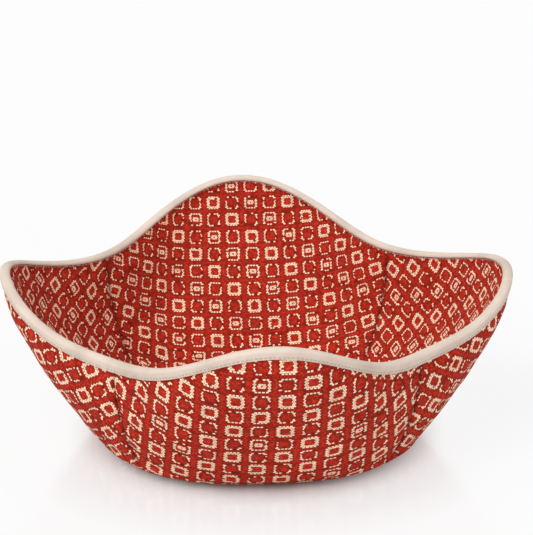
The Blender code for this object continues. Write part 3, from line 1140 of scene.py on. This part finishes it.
def rim_azimuths(count):
    """Azimuths that lie evenly along the rim, and the rim's length, both on the stitch line."""
    fine = np.linspace(-math.pi, math.pi, 4001)
    line = Outside(fine).place(np.full((len(fine), 1), STITCH_LINE_DOWN))[:, 0]
    lengths = np.concatenate([[0.0], np.cumsum(np.linalg.norm(np.diff(line, axis=0), axis=1))])
    rim_length = lengths[-1]
    count = count or round(rim_length / STITCH_PITCH)
    shares = np.arange(count) / count
    return np.interp(shares * rim_length, lengths, fine), rim_length


def folded_tape(name, material):
    """The tape's outline carried along the rim.

    The outline goes up the outside leg, over a half ellipse and down the inside leg, and back
    along a smaller half ellipse under it. The outside dips along the stitch line, most at the
    needle's holes, swells above it, and is crossed by shallow slanting wrinkles.
    """
    inner_half = HALF_BINDING - TAPE_THICKNESS
    inner_rounding = BINDING_ROUNDING - TAPE_THICKNESS
    turn = np.linspace(0.0, math.pi, 21)
    outer_leg = np.linspace(BINDING_OUTSIDE_WIDTH, BINDING_ROUNDING, 13)[:-1]
    outside_path = np.concatenate(
        [
            np.stack([outer_leg, np.full_like(outer_leg, -HALF_BINDING)], -1),
            np.stack(
                [BINDING_ROUNDING * (1 - np.sin(turn)), -HALF_BINDING * np.cos(turn)], -1
            ),
            [(BINDING_INSIDE_WIDTH - TAPE_EDGE_ROUNDING, HALF_BINDING)],
        ]
    )
    outside_path[0, 1] += TAPE_EDGE_ROUNDING
    turn = np.linspace(math.pi, 0.0, 13)
    inside_path = np.concatenate(
        [
            [(BINDING_INSIDE_WIDTH, HALF_BINDING - TAPE_EDGE_ROUNDING)],
            [(BINDING_INSIDE_WIDTH, inner_half)],
            np.stack(
                [
                    TAPE_THICKNESS + inner_rounding * (1 - np.sin(turn)),
                    -inner_half * np.cos(turn),
                ],
                -1,
            ),
            [(INNER_LEG_MIDDLE, -inner_half), (BINDING_OUTSIDE_WIDTH, -inner_half)],
        ]
    )
    outline = np.concatenate([outside_path, inside_path])
    is_outside = np.zeros(len(outline))
    is_outside[: len(outside_path)] = 1.0
    stitches = round(rim_azimuths(2)[1] / STITCH_PITCH)
    azimuth, rim_length = rim_azimuths(stitches * COLUMNS_PER_STITCH)
    count = len(azimuth)
    along = np.arange(count)[:, None] / count * rim_length
    down = outline[:, 0][None, :]
    offset = outline[:, 1][None, :]
    stitch_turn = 2 * math.pi * np.arange(count)[:, None] / COLUMNS_PER_STITCH
    dip = np.exp(-(((down - STITCH_LINE_DOWN) / STITCH_GROOVE_WIDTH) ** 2))
    dip = STITCH_GROOVE_DEPTH * dip * (0.75 + 0.25 * np.cos(stitch_turn))
    puff_place = np.clip(down / STITCH_LINE_DOWN, 0.0, 1.0)
    puff = TAPE_PUFF * np.sin(math.pi * puff_place)
    round_rim = 2 * math.pi * along / rim_length
    slant = WRINKLES_ROUND * round_rim + 2 * math.pi * down / WRINKLE_SLANT
    strength = 0.5 + 0.5 * np.sin(9 * round_rim + 0.8)
    wrinkle = TAPE_WRINKLE * strength * np.sin(slant + 1.5 * np.sin(17 * round_rim))
    outward = is_outside * (puff + wrinkle - dip)
    on_outer_leg = (offset < 0) & (down > 0.5 * BINDING_ROUNDING)
    outward = np.where(on_outer_leg, outward, is_outside * 0.4 * (puff + wrinkle))
    offset = offset + np.sign(offset) * outward
    _, _, points, normals = outside_with_normals(
        azimuth, lambda outside: np.broadcast_to(down, (count, len(outline)))
    )
    vertices = points - (HALF_WALL + offset)[..., None] * normals
    steps = np.linalg.norm(np.diff(outline, axis=0, append=outline[:1]), axis=1)
    path = np.concatenate([[0.0], np.cumsum(steps)])
    column, row = np.meshgrid(np.arange(count), np.arange(len(outline)), indexing="ij")
    next_column = (column + 1) % count
    next_row = (row + 1) % len(outline)
    faces = np.stack(
        [
            column * len(outline) + row,
            next_column * len(outline) + row,
            next_column * len(outline) + next_row,
            column * len(outline) + next_row,
        ],
        -1,
    ).reshape(-1, 4)
    corner_along = np.stack([column, column + 1, column + 1, column], -1) / count * rim_length
    corner_path = path[np.stack([row, row, row + 1, row + 1], -1)]
    places = np.stack([corner_along, corner_path], -1).reshape(-1, 2)
    return new_piece(name, vertices.reshape(-1, 3), faces.tolist(), places, material)


def woven_tape(name):
    """Cream cotton tape: fine yarns that cross, with painted shade in the weave's hollows, and a
    little darker at random.
    """
    material = bpy.data.materials.new(name)
    material.use_nodes = True
    tree = material.node_tree
    shader = tree.nodes["Principled BSDF"]
    place = add_node(
        tree,
        "ShaderNodeSeparateXYZ",
        {0: add_node(tree, "ShaderNodeUVMap", uv_map="cloth").outputs[0]},
    ).outputs
    turns = 2 * math.pi / TAPE_YARN_PITCH
    warp = calculate(tree, "SINE", calculate(tree, "MULTIPLY", place["X"], turns))
    weft = calculate(tree, "SINE", calculate(tree, "MULTIPLY", place["Y"], turns))
    weave = calculate(tree, "MULTIPLY", warp, weft)
    where = add_node(tree, "ShaderNodeTexCoord").outputs["Object"]
    cloudy = add_node(
        tree, "ShaderNodeTexNoise", {"Vector": where, "Scale": 60.0, "Detail": 4.0}
    ).outputs["Fac"]
    fibres = add_node(
        tree, "ShaderNodeTexNoise", {"Vector": where, "Scale": 3000.0, "Detail": 2.0}
    ).outputs["Fac"]
    # The tone: painted shade in the weave's hollows, with random clouds and fibres.
    tone = calculate(tree, "MULTIPLY_ADD", weave, 0.10, calculate(tree, "MULTIPLY", cloudy, 0.8))
    tone = calculate(tree, "MULTIPLY_ADD", fibres, 0.35, tone)
    factor = add_node(
        tree, "ShaderNodeMapRange", {"Value": tone, "From Min": 0.25, "From Max": 0.62}
    ).outputs[0]
    colour = add_node(
        tree,
        "ShaderNodeMix",
        {"Factor": factor, "A": TAPE_DARK_TONE_AND_WEAVE_SHADE, "B": TAPE_CREAM},
        data_type="RGBA",
    ).outputs["Result"]
    tree.links.new(colour, shader.inputs["Base Color"])
    rough = calculate(tree, "MULTIPLY_ADD", fibres, 0.15, 0.74)
    tree.links.new(rough, shader.inputs["Roughness"])
    height = calculate(tree, "MULTIPLY_ADD", fibres, 0.6, weave)
    bump = add_node(
        tree, "ShaderNodeBump", {"Height": height, "Strength": 0.6, "Distance": 0.00014}
    )
    tree.links.new(bump.outputs[0], shader.inputs["Normal"])
    shader.inputs["Specular IOR Level"].default_value = 0.2
    shader.inputs["Sheen Weight"].default_value = 0.12
    shader.inputs["Sheen Roughness"].default_value = 0.5
    return material


binding = folded_tape("edge_binding_tape", woven_tape("cream_woven_tape"))
binding_length = rim_azimuths(2)[1]
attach(binding, "root")
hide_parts("edge_binding")


# Stitches on the tape's outside
# The needle thread of the seam that holds the binding: tan cotton thread in short, even stitches
# a millimetre above the tape's lower edge, each pulled down into the tape at both ends.

STITCH_SHARE = 0.90
STITCH_HALF_WIDTH = 0.00024
STITCH_HALF_HEIGHT = 0.00020
STITCH_BEND = 0.00022
STITCH_END_DEPTH = 0.00026
NEEDLE_THREAD_SUNK = 0.00006
STITCH_SIDES = 6
STITCH_RINGS = 6
THREAD_TAN = (0.62, 0.53, 0.44, 1.0)
THREAD_SHADE = (0.42, 0.35, 0.28, 1.0)


def stitch_row(name, down_line, offset, material):
    """One row of stitches along the rim.

    A stitch is a rounded tube, thinner at its ends, bent down at both ends like an arch. Every
    stitch is the same tube laid along the rim in the frame of rim, wall and normal there.
    """
    azimuth, rim_length = rim_azimuths(None)
    count = len(azimuth)
    reach = np.linspace(-0.002, 0.002, 3)
    frames = [
        outside_with_normals(
            azimuth + step, lambda outside: np.full((count, 1), down_line)
        )
        for step in reach
    ]
    normals = frames[1][3][:, 0]
    middle = frames[1][2][:, 0] - (HALF_WALL + offset) * normals
    along = unit(frames[2][2][:, 0] - frames[0][2][:, 0])
    outward = normals if offset < 0 else -normals
    across = np.cross(outward, along)
    half_length = 0.5 * STITCH_SHARE * rim_length / count
    share = np.linspace(-1.0, 1.0, STITCH_RINGS + 2)[1:-1, None]
    turn = 2 * math.pi * np.arange(STITCH_SIDES)[None, :] / STITCH_SIDES
    girth = np.sqrt(1 - share**2) ** 0.6
    bend = -STITCH_BEND * share**4
    tube = np.stack(
        [
            np.broadcast_to(share * half_length, (STITCH_RINGS, STITCH_SIDES)),
            STITCH_HALF_WIDTH * girth * np.cos(turn),
            STITCH_HALF_HEIGHT * girth * np.sin(turn) + bend,
        ],
        -1,
    ).reshape(-1, 3)
    ends = np.array([(end, 0.0, -STITCH_END_DEPTH) for end in (-half_length, half_length)])
    template = np.concatenate([tube, ends])
    vertices = (
        middle[:, None]
        + template[None, :, :1] * along[:, None]
        + template[None, :, 1:2] * across[:, None]
        + template[None, :, 2:] * outward[:, None]
    )
    ring, side = np.meshgrid(np.arange(STITCH_RINGS - 1), np.arange(STITCH_SIDES), indexing="ij")
    next_side = (side + 1) % STITCH_SIDES
    quads = np.stack(
        [
            ring * STITCH_SIDES + side,
            (ring + 1) * STITCH_SIDES + side,
            (ring + 1) * STITCH_SIDES + next_side,
            ring * STITCH_SIDES + next_side,
        ],
        -1,
    ).reshape(-1, 4)
    side = np.arange(STITCH_SIDES)
    next_side = (side + 1) % STITCH_SIDES
    last = (STITCH_RINGS - 1) * STITCH_SIDES
    first_end = np.full_like(side, len(tube))
    caps = np.concatenate(
        [
            np.stack([first_end, side, next_side], -1),
            np.stack([first_end + 1, last + next_side, last + side], -1),
        ]
    )
    if np.linalg.det(np.stack([along[0], across[0], outward[0]])) > 0:
        quads = quads[:, ::-1]
        caps = caps[:, ::-1]
    starts = len(template) * np.arange(count)[:, None, None]
    faces = (quads + starts).reshape(-1, 4).tolist() + (caps + starts).reshape(-1, 3).tolist()
    corner_places = np.zeros((sum(len(face) for face in faces), 2))
    return new_piece(name, vertices.reshape(-1, 3), faces, corner_places, material)


def twisted_thread(name):
    """Tan cotton thread with its twist as slanting bands, and painted shade in the grooves between
    them, which the wave's distortion makes uneven.
    """
    material = bpy.data.materials.new(name)
    material.use_nodes = True
    tree = material.node_tree
    shader = tree.nodes["Principled BSDF"]
    where = add_node(tree, "ShaderNodeTexCoord").outputs["Object"]
    twist = add_node(
        tree,
        "ShaderNodeTexWave",
        {"Vector": where, "Scale": 900.0, "Distortion": 2.0, "Detail": 1.0},
        bands_direction="DIAGONAL",
    ).outputs["Fac"]
    colour = add_node(
        tree,
        "ShaderNodeMix",
        {"Factor": twist, "A": THREAD_SHADE, "B": THREAD_TAN},
        data_type="RGBA",
    ).outputs["Result"]
    tree.links.new(colour, shader.inputs["Base Color"])
    bump = add_node(
        tree, "ShaderNodeBump", {"Height": twist, "Strength": 0.5, "Distance": 0.0001}
    )
    tree.links.new(bump.outputs[0], shader.inputs["Normal"])
    shader.inputs["Roughness"].default_value = 0.65
    return material


thread = twisted_thread("tan_sewing_thread")
needle_stitches = stitch_row(
    "binding_needle_stitches", STITCH_LINE_DOWN, NEEDLE_THREAD_SUNK - HALF_BINDING, thread
)
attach(needle_stitches, "root")
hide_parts("binding_needle_thread")


# Stitches on the inside
# The bobbin thread of the same seam. It lies in the ditch between the lining and the tape's
# narrow leg, where it shows as a row of short dark dashes.

BOBBIN_LINE_DOWN = 0.00272
BOBBIN_THREAD_OUT = 0.0002

bobbin_stitches = stitch_row(
    "binding_bobbin_stitches", BOBBIN_LINE_DOWN, HALF_STACK + BOBBIN_THREAD_OUT, thread
)
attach(bobbin_stitches, "root")
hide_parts("binding_bobbin_thread")
